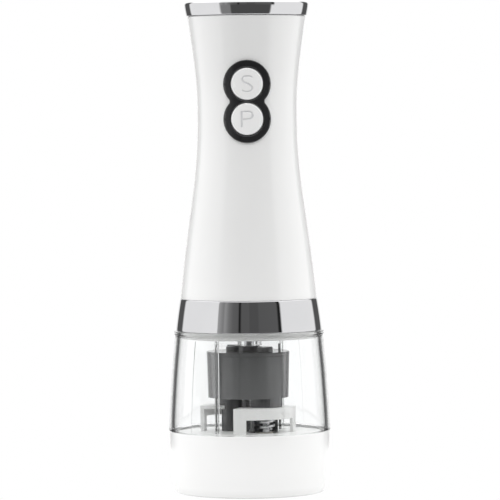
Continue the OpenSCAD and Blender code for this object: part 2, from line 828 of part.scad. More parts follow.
module lid_plate() {
  color("white") difference() {
    union() {
      translate([0, 0, 214]) cylinder(h = mill_h - 1.6 - 214, r = ring_in_r - 0.1);
      translate([0, 0, 216]) cylinder(h = mill_h - 0.8 - 216, r = 25);
      translate([0, 0, 206.8]) cylinder(h = 8, r = 22.4);
      translate([0, cage_y, 203.3]) cylinder(h = 5, r = 13.3);
    }
    translate([0, 0, 209]) cylinder(h = 7, r = 20.4);
  }
}

module lid_ring() {
  z = mill_h - 220;
  color([0.8, 0.8, 0.82]) rotate_extrude() translate([0, z]) polygon([
    [ring_in_r, 213.95], [27.1, 213.95], [27.5, 215.6], [28, 217.6], [28, 218.4], [27.8, 219.1],
    [27.4, 219.6], [26.8, 219.9], [26.2, 220], [25.5, 219.85], [25.15, 219.4], [25.15, 218.6],
    [ring_in_r, 218.5]
  ]);
}

module lid_contacts() {
  color([0.85, 0.68, 0.32]) for (y = [-1, 1])
    translate([-cell_pitch - 3, cage_y + y * cell_pitch - 2.5, cell_top_z + 0.15])
      cube([2 * cell_pitch + 6, 5, 0.6]);
}

// One node at a time

dust_cap();
grinder_base();
container();
partition();
base_screw();
splitter_case();
splitter_lid();
drive_shaft();
centre_gear();
for (side = ["salt", "pepper"]) {
  feed_hood(side);
  burr_ring(side);
  output_gear(side);
  spindle(side);
  feed_spring(side);
  burr_cone(side);
  adjust_knob(side);
}
handle_shell();
handle_band();
handle_floor();
floor_screws();
gear_case();
gear_case_screws();
output_bush();
output_carrier();
drive_bit();
for (index = [1 : 3]) {
  planet(index, low_z);
  planet(index, high_z);
}
middle_carrier();
motor_pinion();
motor_shaft();
motor_plate();
motor_screws();
motor_can();
motor_end_cap();
motor_leads();
battery_cage();
battery_cells();
battery_contacts();
button_surround();
button(salt_button_z);  // button_salt
button(pepper_button_z);  // button_pepper
plunger(salt_button_z);  // plunger_salt
plunger(pepper_button_z);  // plunger_pepper
switch_board();
switch_bodies();
board_screws();
lid_plate();
lid_ring();
lid_contacts();
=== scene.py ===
import json
import math
import bmesh
import bpy
from mathutils import Matrix, Vector


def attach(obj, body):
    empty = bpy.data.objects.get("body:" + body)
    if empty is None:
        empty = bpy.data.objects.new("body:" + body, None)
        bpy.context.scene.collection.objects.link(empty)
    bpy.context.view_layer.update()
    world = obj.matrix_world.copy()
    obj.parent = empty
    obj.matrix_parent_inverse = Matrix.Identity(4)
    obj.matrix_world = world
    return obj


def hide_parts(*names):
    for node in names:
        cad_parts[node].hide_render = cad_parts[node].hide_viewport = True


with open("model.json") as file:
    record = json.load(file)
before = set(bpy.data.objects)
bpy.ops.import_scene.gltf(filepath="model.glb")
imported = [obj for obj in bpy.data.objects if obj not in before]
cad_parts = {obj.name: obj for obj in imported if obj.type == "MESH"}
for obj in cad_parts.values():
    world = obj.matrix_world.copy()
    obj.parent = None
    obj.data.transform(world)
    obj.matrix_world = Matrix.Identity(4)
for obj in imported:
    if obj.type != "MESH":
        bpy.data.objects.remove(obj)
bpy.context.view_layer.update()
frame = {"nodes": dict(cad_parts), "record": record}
nodeBody = {node: body for body, nodes in frame["record"]["behaviour"]["bodies"].items() for node in nodes}
nodeSlot = {part["node"]: part["material_slot"] for part in frame["record"]["subparts"]}
mm = 0.001
finishes = {}
made = {}

# outlines, in mm: height and radius

outlines = {
    "cap": [(3, 34.55), (10, 35.5), (19, 36.15), (27.9, 36.4)],
    "container": [(28, 36.4), (40, 35.8), (55, 34.8), (70, 33.4)],
    "neck": [(87.3, 30.9), (104, 29.05), (122, 26.65), (140, 24.2), (155, 22.85),
             (169, 22.45), (183, 22.85), (198, 24.45), (213.8, 26.65)],
}
grinder = {"offset": 10.4, "turn": math.radians(42)}


# a smooth line through points, with steps pieces between each two
def splineLine(points, steps):
    before = [2 * a - b for a, b in zip(points[0], points[1])]
    after = [2 * a - b for a, b in zip(points[-1], points[-2])]
    run = [before, *points, after]
    out = []
    for i in range(len(points) - 1):
        a, b, c, d = run[i:i + 4]
        for s in range(steps):
            t = s / steps
            out.append(tuple(
                0.5 * (2 * q + (r - p) * t + (2 * p - 5 * q + 4 * r - w) * t * t
                       + (3 * q - p - 3 * r + w) * t ** 3)
                for p, q, r, w in zip(a, b, c, d)
            ))
    return out + [tuple(points[-1])]


def radiusAt(name, height):
    line = splineLine(outlines[name], 8)
    for (za, ra), (zb, rb) in zip(line, line[1:]):
        if za <= height <= zb:
            return ra + (rb - ra) * (height - za) / (zb - za)
    return line[0][1] if height < line[0][0] else line[-1][1]


# an outline as radius, height, moved outwards
def wall(name, out, steps=8, low=-1, high=999):
    return [(r + out, z) for z, r in splineLine(outlines[name], steps) if low < z < high]


# a finished piece from a bmesh, riding its body; edges turned by more than sharp degrees stay crisp
def finishMesh(name, bm, body, finish, replaces=(), sharp=35, recalc=True):
    bmesh.ops.remove_doubles(bm, verts=bm.verts, dist=1e-6)
    if recalc:
        bmesh.ops.recalc_face_normals(bm, faces=bm.faces)
    for face in bm.faces:
        face.smooth = True
    for edge in bm.edges:
        edge.smooth = not (edge.is_manifold and edge.calc_face_angle(0) > math.radians(sharp))
    mesh = bpy.data.meshes.new(name)
    bm.to_mesh(mesh)
    bm.free()
    piece = bpy.data.objects.new(name, mesh)
    bpy.context.scene.collection.objects.link(piece)
    mesh.materials.append(finishes[finish])
    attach(piece, body)
    if replaces:
        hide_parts(*replaces)
    made[name] = piece
    return piece


# a turned shape from points of radius, height and corner radius, in mm; a closed one joins its two ends
def turned(points, closed=False, steps=160, segments=4):
    bm = bmesh.new()
    verts = [bm.verts.new((p[0] * mm, 0, p[1] * mm)) for p in points]
    for a, b in zip(verts, verts[1:] + verts[:1] if closed else verts[1:]):
        bm.edges.new((a, b))
    rounds = {}
    for vert, point in zip(verts, points):
        if len(point) > 2 and point[2] > 0:
            rounds.setdefault(point[2], []).append(vert)
    for radius, group in rounds.items():
        bmesh.ops.bevel(bm, geom=group, offset=radius * mm, segments=segments, profile=0.5,
                        affect='VERTICES', material=-1)
    bmesh.ops.spin(bm, geom=bm.verts[:] + bm.edges[:], cent=(0, 0, 0), axis=(0, 0, 1),
                   angle=2 * math.pi, steps=steps, use_merge=True)
    bmesh.ops.remove_doubles(bm, verts=bm.verts, dist=1e-7)
    bmesh.ops.recalc_face_normals(bm, faces=bm.faces)
    return bm


# bevels every edge turned by more than 35 degrees
def softEdges(bm, width):
    edges = [e for e in bm.edges if e.is_manifold and e.calc_face_angle(0) > math.radians(35)]
    bmesh.ops.bevel(bm, geom=edges, offset=width * mm, segments=2, profile=0.5, affect='EDGES',
                    clamp_overlap=True, material=-1)


def evenShading(piece):
    even = piece.modifiers.new("evenShading", 'WEIGHTED_NORMAL')
    even.keep_sharp = True
    even.weight = 80


# a CAD node's shape with its triangles merged and its edges eased
def eased(node, width, finish):
    bm = bmesh.new()
    bm.from_mesh(frame["nodes"][node].data)
    bmesh.ops.remove_doubles(bm, verts=bm.verts, dist=2e-6)
    bmesh.ops.dissolve_limit(bm, angle_limit=math.radians(1), verts=bm.verts, edges=bm.edges)
    softEdges(bm, width)
    piece = finishMesh(node + "Eased", bm, nodeBody[node], finish, (node,), 50,
                       recalc=False)
    evenShading(piece)
    return piece


# the faces of a piece below a height, in mm, take a second finish; used for painted shade, a darker smoke
# standing in for the shade under the gearbox case
def paintShadeBelow(piece, height, finish):
    piece.data.materials.append(finishes[finish])
    for face in piece.data.polygons:
        if all(piece.data.vertices[i].co.z < height * mm for i in face.vertices):
            face.material_index = 1


# cuts one solid out of a piece; the cut faces keep the cutter's material when it has one
def cutWith(piece, cutter):
    step = piece.modifiers.new("cut", 'BOOLEAN')
    step.operation, step.solver, step.object = 'DIFFERENCE', 'EXACT', cutter
    if cutter.data.materials:
        step.material_mode = 'TRANSFER'
    bpy.context.view_layer.update()
    result = bpy.data.meshes.new_from_object(piece.evaluated_get(bpy.context.evaluated_depsgraph_get()))
    piece.modifiers.remove(step)
    piece.data = result
    bpy.data.objects.remove(cutter)


def rodAlongY(radius, near, far, x, z):
    bm = bmesh.new()
    bmesh.ops.create_cone(bm, cap_ends=True, segments=96, radius1=radius * mm, radius2=radius * mm,
                          depth=(far - near) * mm)
    bmesh.ops.rotate(bm, verts=bm.verts, cent=(0, 0, 0), matrix=Matrix.Rotation(math.pi / 2, 3, 'X'))
    bmesh.ops.translate(bm, verts=bm.verts, vec=(x * mm, (near + far) / 2 * mm, z * mm))
    mesh = bpy.data.meshes.new("cutter")
    bm.to_mesh(mesh)
    bm.free()
    cutter = bpy.data.objects.new("cutter", mesh)
    bpy.context.scene.collection.objects.link(cutter)
    return cutter


# a node group with named inputs and outputs
def newGroup(name, inputs, outputs):
    group = bpy.data.node_groups.new(name, 'ShaderNodeTree')
    for label, kind, value in inputs:
        socket = group.interface.new_socket(label, in_out='INPUT', socket_type=kind)
        if value is not None:
            socket.default_value = value
    for label, kind in outputs:
        group.interface.new_socket(label, in_out='OUTPUT', socket_type=kind)
    return group, group.nodes.new('NodeGroupInput'), group.nodes.new('NodeGroupOutput')


def addNode(tree, kind, **values):
    node = tree.nodes.new(kind)
    for key, value in values.items():
        setattr(node, key, value)
    return node


# mould grain, handling smudges and a slow drift of tone
def makeMouldedGroup():
    group, start, end = newGroup("mouldedSurface", [
        ("Vector", 'NodeSocketVector', None), ("Colour", 'NodeSocketColor', (0.8, 0.8, 0.8, 1)),
        ("Second Colour", 'NodeSocketColor', (0.7, 0.7, 0.7, 1)), ("Tone Scale", 'NodeSocketFloat', 40.0),
        ("Low Roughness", 'NodeSocketFloat', 0.1), ("High Roughness", 'NodeSocketFloat', 0.3),
        ("Grain Scale", 'NodeSocketFloat', 900.0),
    ], [("Colour", 'NodeSocketColor'), ("Roughness", 'NodeSocketFloat'), ("Height", 'NodeSocketFloat')])
    link = group.links.new
    tone = addNode(group, 'ShaderNodeTexNoise')
    tone.inputs["Detail"].default_value = 3.0
    link(start.outputs["Vector"], tone.inputs["Vector"])
    link(start.outputs["Tone Scale"], tone.inputs["Scale"])
    toneRange = addNode(group, 'ShaderNodeMapRange', interpolation_type='SMOOTHSTEP')
    toneRange.inputs["From Min"].default_value = 0.35
    toneRange.inputs["From Max"].default_value = 0.65
    link(tone.outputs["Fac"], toneRange.inputs["Value"])
    blend = addNode(group, 'ShaderNodeMix', data_type='RGBA')
    link(toneRange.outputs["Result"], blend.inputs["Factor"])
    link(start.outputs["Colour"], blend.inputs[6])
    link(start.outputs["Second Colour"], blend.inputs[7])
    link(blend.outputs[2], end.inputs["Colour"])
    smudge = addNode(group, 'ShaderNodeTexNoise')
    smudge.inputs["Scale"].default_value = 110.0
    smudge.inputs["Detail"].default_value = 5.0
    smudge.inputs["Distortion"].default_value = 1.2
    link(start.outputs["Vector"], smudge.inputs["Vector"])
    smudgeRange = addNode(group, 'ShaderNodeMapRange')
    smudgeRange.inputs["From Min"].default_value = 0.42
    smudgeRange.inputs["From Max"].default_value = 0.75
    link(smudge.outputs["Fac"], smudgeRange.inputs["Value"])
    link(start.outputs["Low Roughness"], smudgeRange.inputs["To Min"])
    link(start.outputs["High Roughness"], smudgeRange.inputs["To Max"])
    link(smudgeRange.outputs["Result"], end.inputs["Roughness"])
    grain = addNode(group, 'ShaderNodeTexNoise')
    grain.inputs["Detail"].default_value = 2.0
    link(start.outputs["Vector"], grain.inputs["Vector"])
    link(start.outputs["Grain Scale"], grain.inputs["Scale"])
    link(grain.outputs["Fac"], end.inputs["Height"])
    return group


# fine rings left by a lathe or a brush, stretched round the mill's axis
def makeTurnedGroup():
    group, start, end = newGroup("turnedMetal", [
        ("Vector", 'NodeSocketVector', None), ("Colour", 'NodeSocketColor', (0.6, 0.6, 0.6, 1)),
        ("Second Colour", 'NodeSocketColor', (0.5, 0.5, 0.5, 1)), ("Ring Scale", 'NodeSocketFloat', 900.0),
        ("Low Roughness", 'NodeSocketFloat', 0.15), ("High Roughness", 'NodeSocketFloat', 0.35),
    ], [("Colour", 'NodeSocketColor'), ("Roughness", 'NodeSocketFloat'), ("Height", 'NodeSocketFloat')])
    link = group.links.new
    squeeze = addNode(group, 'ShaderNodeMapping')
    squeeze.inputs["Scale"].default_value = (0.12, 0.12, 1.0)
    link(start.outputs["Vector"], squeeze.inputs["Vector"])
    rings = addNode(group, 'ShaderNodeTexNoise')
    rings.inputs["Detail"].default_value = 4.0
    rings.inputs["Roughness"].default_value = 0.65
    link(squeeze.outputs["Vector"], rings.inputs["Vector"])
    link(start.outputs["Ring Scale"], rings.inputs["Scale"])
    blend = addNode(group, 'ShaderNodeMix', data_type='RGBA')
    link(rings.outputs["Fac"], blend.inputs["Factor"])
    link(start.outputs["Colour"], blend.inputs[6])
    link(start.outputs["Second Colour"], blend.inputs[7])
    link(blend.outputs[2], end.inputs["Colour"])
    spread = addNode(group, 'ShaderNodeMapRange')
    spread.inputs["From Min"].default_value = 0.3
    spread.inputs["From Max"].default_value = 0.7
    link(rings.outputs["Fac"], spread.inputs["Value"])
    link(start.outputs["Low Roughness"], spread.inputs["To Min"])
    link(start.outputs["High Roughness"], spread.inputs["To Max"])
    link(spread.outputs["Result"], end.inputs["Roughness"])
    link(rings.outputs["Fac"], end.inputs["Height"])
    return group


mouldedGroup = makeMouldedGroup()
turnedGroup = makeTurnedGroup()


def makeFinish(name, look):
    material = bpy.data.materials.new(name)
    material.use_nodes = True
    tree = material.node_tree
    shader = tree.nodes["Principled BSDF"]
    place = addNode(tree, 'ShaderNodeTexCoord')
    surface = addNode(tree, 'ShaderNodeGroup')
    metal = look.get("metal", 0.0)
    surface.node_tree = turnedGroup if look.get("turned") else mouldedGroup
    tree.links.new(place.outputs["Object"], surface.inputs["Vector"])
    surface.inputs["Colour"].default_value = (*look["colour"], 1)
    surface.inputs["Second Colour"].default_value = (*look.get("second", look["colour"]), 1)
    surface.inputs["Low Roughness"].default_value = look["rough"][0]
    surface.inputs["High Roughness"].default_value = look["rough"][1]
    if look.get("turned"):
        surface.inputs["Ring Scale"].default_value = look["turned"]
    else:
        surface.inputs["Tone Scale"].default_value = look.get("toneScale", 40.0)
        surface.inputs["Grain Scale"].default_value = look.get("grain", 900.0)
    if look.get("clear"):
        shader.inputs["Base Color"].default_value = (*look["colour"], 1)
        shader.inputs["Transmission Weight"].default_value = look["clear"]
    else:
        tree.links.new(surface.outputs["Colour"], shader.inputs["Base Color"])
    tree.links.new(surface.outputs["Roughness"], shader.inputs["Roughness"])
    shader.inputs["Metallic"].default_value = metal
    shader.inputs["IOR"].default_value = look.get("ior", 1.5)
    shader.inputs["Coat Weight"].default_value = look.get("coat", 0.0)
    shader.inputs["Coat Roughness"].default_value = look.get("coatRough", 0.04)
    if look.get("bump"):
        bump = addNode(tree, 'ShaderNodeBump')
        bump.inputs["Strength"].default_value = look.get("bumpStrength", 0.25)
        bump.inputs["Distance"].default_value = look["bump"] * mm
        tree.links.new(surface.outputs["Height"], bump.inputs["Height"])
        tree.links.new(bump.outputs["Normal"], shader.inputs["Normal"])
    if look.get("clear"):
        letLightIn(tree, shader, look["colour"])
    finishes[name] = material
    return material


# light reaches what stands behind a clear wall
def letLightIn(tree, shader, tint):
    ray = addNode(tree, 'ShaderNodeLightPath')
    clearWay = addNode(tree, 'ShaderNodeBsdfTransparent')
    clearWay.inputs["Color"].default_value = (*tint, 1)
    both = addNode(tree, 'ShaderNodeMixShader')
    tree.links.new(ray.outputs["Is Shadow Ray"], both.inputs[0])
    tree.links.new(shader.outputs[0], both.inputs[1])
    tree.links.new(clearWay.outputs[0], both.inputs[2])
    tree.links.new(both.outputs[0], tree.nodes["Material Output"].inputs["Surface"])


looks = {
    "glossWhite": {"colour": (0.89, 0.89, 0.885), "second": (0.875, 0.875, 0.87),
        "rough": (0.14, 0.24), "coat": 0.15, "grain": 500, "bump": 0.01, "bumpStrength": 0.12,
        "toneScale": 18},
    "buttonWhite": {"colour": (0.95, 0.95, 0.945), "second": (0.94, 0.94, 0.935),
        "rough": (0.2, 0.3), "coat": 0.1, "grain": 500, "bump": 0.01, "bumpStrength": 0.12,
        "toneScale": 18},
    "satinWhite": {"colour": (0.9, 0.9, 0.89), "second": (0.88, 0.88, 0.87), "rough": (0.28, 0.42),
        "grain": 1400, "bump": 0.02},
    "clearPlastic": {"colour": (0.985, 0.99, 0.99), "rough": (0.0, 0.02), "clear": 1.0,
        "ior": 1.49},
    "smokedPlastic": {"colour": (0.17, 0.17, 0.172), "rough": (0.08, 0.16), "clear": 0.4,
        "ior": 1.5},
    # painted shade: a darker smoke that stands in for the shade under the gearbox case, not a colour of the
    # part
    "paintedShadeSmoke": {"colour": (0.08, 0.08, 0.082), "rough": (0.06, 0.14), "clear": 0.3, "ior": 1.5},
    "pianoBlack": {"colour": (0.012, 0.012, 0.013), "second": (0.016, 0.016, 0.017),
        "rough": (0.06, 0.14), "coat": 0.6, "grain": 600, "bump": 0.008, "bumpStrength": 0.1},
    "satinBlack": {"colour": (0.03, 0.03, 0.032), "second": (0.04, 0.04, 0.042),
        "rough": (0.32, 0.5), "grain": 1600, "bump": 0.03},
    "greyPlastic": {"colour": (0.3, 0.3, 0.31), "second": (0.26, 0.26, 0.27), "rough": (0.35, 0.5),
        "grain": 1500, "bump": 0.03},
    "chromePlate": {"colour": (0.62, 0.62, 0.63), "second": (0.6, 0.6, 0.61), "rough": (0.02, 0.06),
        "metal": 1.0, "grain": 300, "bump": 0.006, "bumpStrength": 0.08},
    "turnedSteel": {"colour": (0.62, 0.62, 0.63), "second": (0.5, 0.5, 0.51), "rough": (0.14, 0.3),
        "metal": 1.0, "turned": 2500, "bump": 0.01},
    "brightWire": {"colour": (0.84, 0.84, 0.85), "second": (0.76, 0.76, 0.77),
        "rough": (0.22, 0.36), "metal": 1.0, "turned": 3000, "bump": 0.006},
    "turnedBrass": {"colour": (0.8, 0.58, 0.26), "second": (0.66, 0.46, 0.19),
        "rough": (0.16, 0.32), "metal": 1.0, "turned": 2500, "bump": 0.01},
    "zincCan": {"colour": (0.55, 0.56, 0.57), "second": (0.45, 0.46, 0.47), "rough": (0.22, 0.42),
        "metal": 1.0, "turned": 1200, "bump": 0.012},
    "naturalNylon": {"colour": (0.74, 0.72, 0.66), "second": (0.68, 0.66, 0.59),
        "rough": (0.34, 0.5), "grain": 1500, "bump": 0.02},
    "darkNylon": {"colour": (0.02, 0.02, 0.021), "second": (0.028, 0.028, 0.03),
        "rough": (0.3, 0.45), "grain": 1500, "bump": 0.02},
    "firedCeramic": {"colour": (0.78, 0.75, 0.68), "second": (0.7, 0.67, 0.6),
        "rough": (0.45, 0.65), "grain": 2600, "bump": 0.05, "bumpStrength": 0.4, "toneScale": 260},
    "boardLacquer": {"colour": (0.02, 0.13, 0.05), "second": (0.03, 0.17, 0.07),
        "rough": (0.22, 0.35), "coat": 0.3, "grain": 1100, "bump": 0.02, "toneScale": 700},
    "cellFilm": {"colour": (0.05, 0.11, 0.07), "second": (0.06, 0.13, 0.085), "rough": (0.16, 0.28),
        "coat": 0.4, "grain": 400, "bump": 0.01},
    "cellBand": {"colour": (0.62, 0.5, 0.2), "second": (0.56, 0.44, 0.17), "rough": (0.2, 0.3),
        "metal": 0.8, "grain": 500, "bump": 0.01},
    "redSleeve": {"colour": (0.42, 0.02, 0.015), "second": (0.36, 0.02, 0.015),
        "rough": (0.4, 0.55), "grain": 1300, "bump": 0.02},
    "letterGrey": {"colour": (0.76, 0.76, 0.77), "second": (0.73, 0.73, 0.74), "rough": (0.4, 0.55),
        "grain": 1500, "bump": 0.01},
}
for finishName, look in looks.items():
    makeFinish(finishName, look)
print("finishes made:", len(finishes))

slotFinish = {
    "white_shell": "glossWhite", "white_inner": "satinWhite", "clear_plastic": "clearPlastic",
    "smoked_plastic": "smokedPlastic", "black_gloss": "pianoBlack", "black_plastic": "satinBlack",
    "grey_plastic": "greyPlastic", "chrome": "chromePlate", "steel": "turnedSteel",
    "spring_steel": "brightWire", "brass": "turnedBrass", "gear_nylon": "naturalNylon",
    "grinding_ceramic": "firedCeramic", "motor_zinc": "zincCan", "circuit_board": "boardLacquer",
    "cell_sleeve": "cellFilm", "lead_red": "redSleeve",
}
for node, piece in frame["nodes"].items():
    for place in piece.material_slots:
        place.material = finishes[slotFinish[nodeSlot[node]]]

# dust cap: the foot ring is given as steps from the foot's radius, with height and corner radius

capShape = {"foot": 32.6, "wall": 2.0, "floor": 2.0, "recess": 0.6, "rim": (0.35, 0.4),
            "ring": [(-3, 0.6, 0.3), (-2, 0, 0.2), (-0.6, 0, 0.5), (1.1, 0.45, 0.5)]}


def makeDustCap():
    foot = capShape["foot"]
    outer = [(0, capShape["recess"])] + [(foot + step, *rest) for step, *rest in capShape["ring"]]
    outer += wall("cap", 0)
    inner = wall("cap", -capShape["wall"])
    outer[-1], inner[-1] = (*outer[-1], capShape["rim"][0]), (*inner[-1], capShape["rim"][1])
    inner[0] = (*inner[0], 0.6)
    bottom = [(foot - 1.2, capShape["floor"] + 0.3, 0.5), (0, capShape["floor"])]
    bm = turned(outer + inner[::-1] + bottom)
    finishMesh("dustCapShell", bm, "cap", "glossWhite", ("dust_cap",))


# container: a clear wall between the spigot in the dust cap and the collar under the handle

containerShape = {"wall": 2.2, "spigotZ": 22.0, "spigot": 34.15, "bore": 32.4, "seatZ": 28.0,
                  "mouth": 30.5, "flange": 33.65, "collarZ": (71.2, 72.7)}


def makeContainer():
    spigot, bore, mouth = containerShape["spigot"], containerShape["bore"], containerShape["mouth"]
    flange, bottom, seat = containerShape["flange"], containerShape["spigotZ"], containerShape["seatZ"]
    collarLow, collarHigh = containerShape["collarZ"]
    outer = wall("container", 0)
    inner = wall("container", -containerShape["wall"])
    points = [(bore, bottom, 0.15), (spigot, bottom, 0.3), (spigot, seat)]
    points += [(*outer[0], 0.3)] + outer[1:-1] + [(outer[-1][0] - 0.15, 70.9, 0.3)]
    points += [(flange, collarLow, 0.15), (flange, collarHigh, 0.4)]
    points += [(mouth, collarHigh, 0.3), (mouth, collarLow, 0.5), (inner[-1][0], 70.7, 0.4)]
    points += inner[::-1][1:-1] + [(bore + 1.75, seat, 0.4), (bore, 27.4, 0.3)]
    bm = turned(points, closed=True, steps=192)
    finishMesh("containerWall", bm, "mill", "clearPlastic", ("container",))


partitionShape = {"inX": 18.9, "lowX": 31.9, "topX": 31.1, "thick": 1.6, "edge": 0.3, "floor": 27.05,
                  "seatZ": 28.0, "bridge": 65.9, "top": 69.0, "post": 1.15, "tube": 5.75, "tubeWall": 1.1,
                  "tubeZ": 65.7, "overlap": 0.6}


# the two wings, their posts, the bridge over the gearbox and the centre tube, as one clear moulding
def makePartition():
    shape = partitionShape
    inner = [p for p in wall("container", -containerShape["wall"] - 0.15) if p[1] < shape["top"] - 0.5]
    line = [(shape["inX"], shape["floor"]), (shape["lowX"], shape["floor"]), (shape["lowX"], shape["seatZ"]),
            *inner[::3], (shape["topX"], shape["top"]), (shape["inX"], shape["top"])]
    bm = bmesh.new()
    for side in (0, 180):
        verts = [bm.verts.new((x * mm, -shape["thick"] / 2 * mm, z * mm)) for x, z in line]
        face = bm.faces.new(verts)
        pushed = bmesh.ops.extrude_face_region(bm, geom=[face])
        moved = [v for v in pushed["geom"] if isinstance(v, bmesh.types.BMVert)]
        bmesh.ops.translate(bm, verts=moved, vec=(0, shape["thick"] * mm, 0))
        wing = list({*verts, *moved})
        for vert in wing:  # a wing thins towards its outer edge
            across = (vert.co.x / mm - shape["inX"]) / (32 - shape["inX"])
            vert.co.y *= 1 - across * (1 - shape["edge"] / shape["thick"])
        rod = bmesh.ops.create_cone(bm, cap_ends=True, segments=32, radius1=shape["post"] * mm,
                                    radius2=shape["post"] * mm,
                                    depth=(shape["top"] - shape["floor"]) * mm)
        post = rod["verts"]
        away = ((shape["inX"] + shape["overlap"]) * mm, 0, (shape["top"] + shape["floor"]) / 2 * mm)
        bmesh.ops.translate(bm, verts=post, vec=away)
        bmesh.ops.rotate(bm, verts=wing + post, cent=(0, 0, 0),
                         matrix=Matrix.Rotation(math.radians(side), 3, 'Z'))
    bmesh.ops.recalc_face_normals(bm, faces=bm.faces)
    softEdges(bm, 0.1)
    for side in (-1, 1):
        bar = bmesh.ops.create_cube(bm, size=1)["verts"]
        length = shape["inX"] + 0.4 - shape["tube"] + shape["overlap"]
        height = shape["top"] - shape["bridge"]
        bmesh.ops.scale(bm, verts=bar, vec=(length * mm, shape["thick"] * mm, height * mm))
        away = (side * (shape["tube"] - shape["overlap"] + length / 2) * mm, 0,
                (shape["top"] + shape["bridge"]) / 2 * mm)
        bmesh.ops.translate(bm, verts=bar, vec=away)
    tube, bore = shape["tube"], shape["tube"] - shape["tubeWall"]
    ring = turned([(bore, shape["tubeZ"], 0.2), (tube, shape["tubeZ"], 0.2), (tube, shape["top"], 0.3),
                   (bore, shape["top"], 0.3)], closed=True, steps=96)
    tubeMesh = bpy.data.meshes.new("tube")
    ring.to_mesh(tubeMesh)
    ring.free()
    bm.from_mesh(tubeMesh)
    bmesh.ops.rotate(bm, verts=bm.verts, cent=(0, 0, 0),
                     matrix=Matrix.Rotation(grinder["turn"], 3, 'Z'))
    piece = finishMesh("partitionMoulding", bm, "mill", "clearPlastic",
                       ("partition",))
    evenShading(piece)


# chrome bands

bandShape = {"low": (32.95, 72.9), "high": (30.9, 87.3), "wall": 0.9, "crown": 0.12}


def makeBand():
    (lowR, lowZ), (highR, highZ) = bandShape["low"], bandShape["high"]
    thin = bandShape["wall"]
    side = []
    for i in range(1, 10):
        t = i / 10
        side.append((lowR + (highR - lowR) * t + bandShape["crown"] * math.sin(math.pi * t),
                     lowZ + (highZ - lowZ) * t))
    points = [(lowR - thin, lowZ, 0.2), (lowR - 0.05, lowZ, 0.45), *side, (highR - 0.02, highZ, 0.35),
              (highR - thin, highZ, 0.15)]
    bm = turned(points, closed=True, steps=192, segments=5)
    finishMesh("handleBandPlate", bm, "handle", "chromePlate", ("handle_band",))


ringProfile = [(26.1, 213.95, 0.1), (27.1, 213.95, 0.3), (27.4, 215.3), (27.65, 216.6), (27.85, 217.9),
               (28.0, 219.3, 0.4), (27.65, 219.9, 0.35), (26.8, 220.0, 0.4), (25.3, 219.95, 0.6),
               (25.15, 218.6, 0.15), (26.1, 218.5, 0.1)]


def makeLidRing():
    bm = turned(ringProfile, closed=True, steps=192, segments=6)
    finishMesh("lidRingPlate", bm, "lid", "chromePlate", ("lid_ring",))


# handle shell

handleShape = {"wall": 2.2, "skirtWall": 1.3, "openings": (183.3, 167.7), "openingR": 9.4,
               "ledge": 204.4, "ledgeThick": 2.0, "ledgeR": 21.4}


def makeShell():
    skirt = bandShape["wall"] + 0.05
    (lowR, lowZ), (highR, highZ) = bandShape["low"], bandShape["high"]
    outer = [(lowR - skirt, lowZ, 0.2), (highR - skirt, highZ - 0.05)]
    neck = [(r, z) for r, z in wall("neck", 0, 20)]
    outer += [(neck[0][0] - 0.1, highZ + 0.03, 0.25)] + neck[3:-1] + [(*neck[-1], 0.4)]
    thin, skirtWall = handleShape["wall"], handleShape["skirtWall"]
    inner = [(r, z) for r, z in wall("neck", -thin, 4) if z > highZ + 1]
    ledge, thick, hole = handleShape["ledge"], handleShape["ledgeThick"], handleShape["ledgeR"]
    below = [p for p in inner if p[1] < ledge - 2.4]
    above = [p for p in inner if p[1] > ledge + 0.4]
    inside = radiusAt("neck", ledge) - thin
    step = [(radiusAt("neck", ledge - thick) - thin, ledge - thick, 0.2), (hole, ledge - thick, 0.3),
            (hole, ledge, 0.3), (inside, ledge, 0.2)]
    inward = [(lowR - skirt - skirtWall, lowZ, 0.2), (highR - skirt - skirtWall, highZ - 1)]
    inward += below + step + above
    inward[-1] = (*inward[-1], 0.3)
    bm = turned(outer + inward[::-1], closed=True, steps=256)
    piece = finishMesh("handleShellNeck", bm, "handle", "glossWhite",
                       ("handle_shell",))
    for z in handleShape["openings"]:
        cutWith(piece, rodAlongY(handleShape["openingR"], -40, -10, 0, z))


# button surround and buttons

buttonShape = {"centres": {"salt": 183.3, "pepper": 167.7}, "lobe": 10.6, "hole": 7.42,
               "waist": 5, "proud": 0.9, "ease": 0.42, "plug": 9.28, "cap": 7.2, "capProud": 1.35,
               "crown": 0.25, "side": 4.2, "flange": (8.2, 7.3), "flangeFront": 19.6, "back": 17.2,
               "letterHeight": 8.2, "capitalPart": 0.73, "letterThin": 0.22, "letterStretch": 1.28,
               "letterDepth": 0.15}


# how far in front of the axis the neck's surface, moved out by rise, lies at x and z, in mm
def frontOf(x, z, rise):
    reach = radiusAt("neck", z) + rise
    return math.sqrt(max(reach * reach - x * x, 1.0))


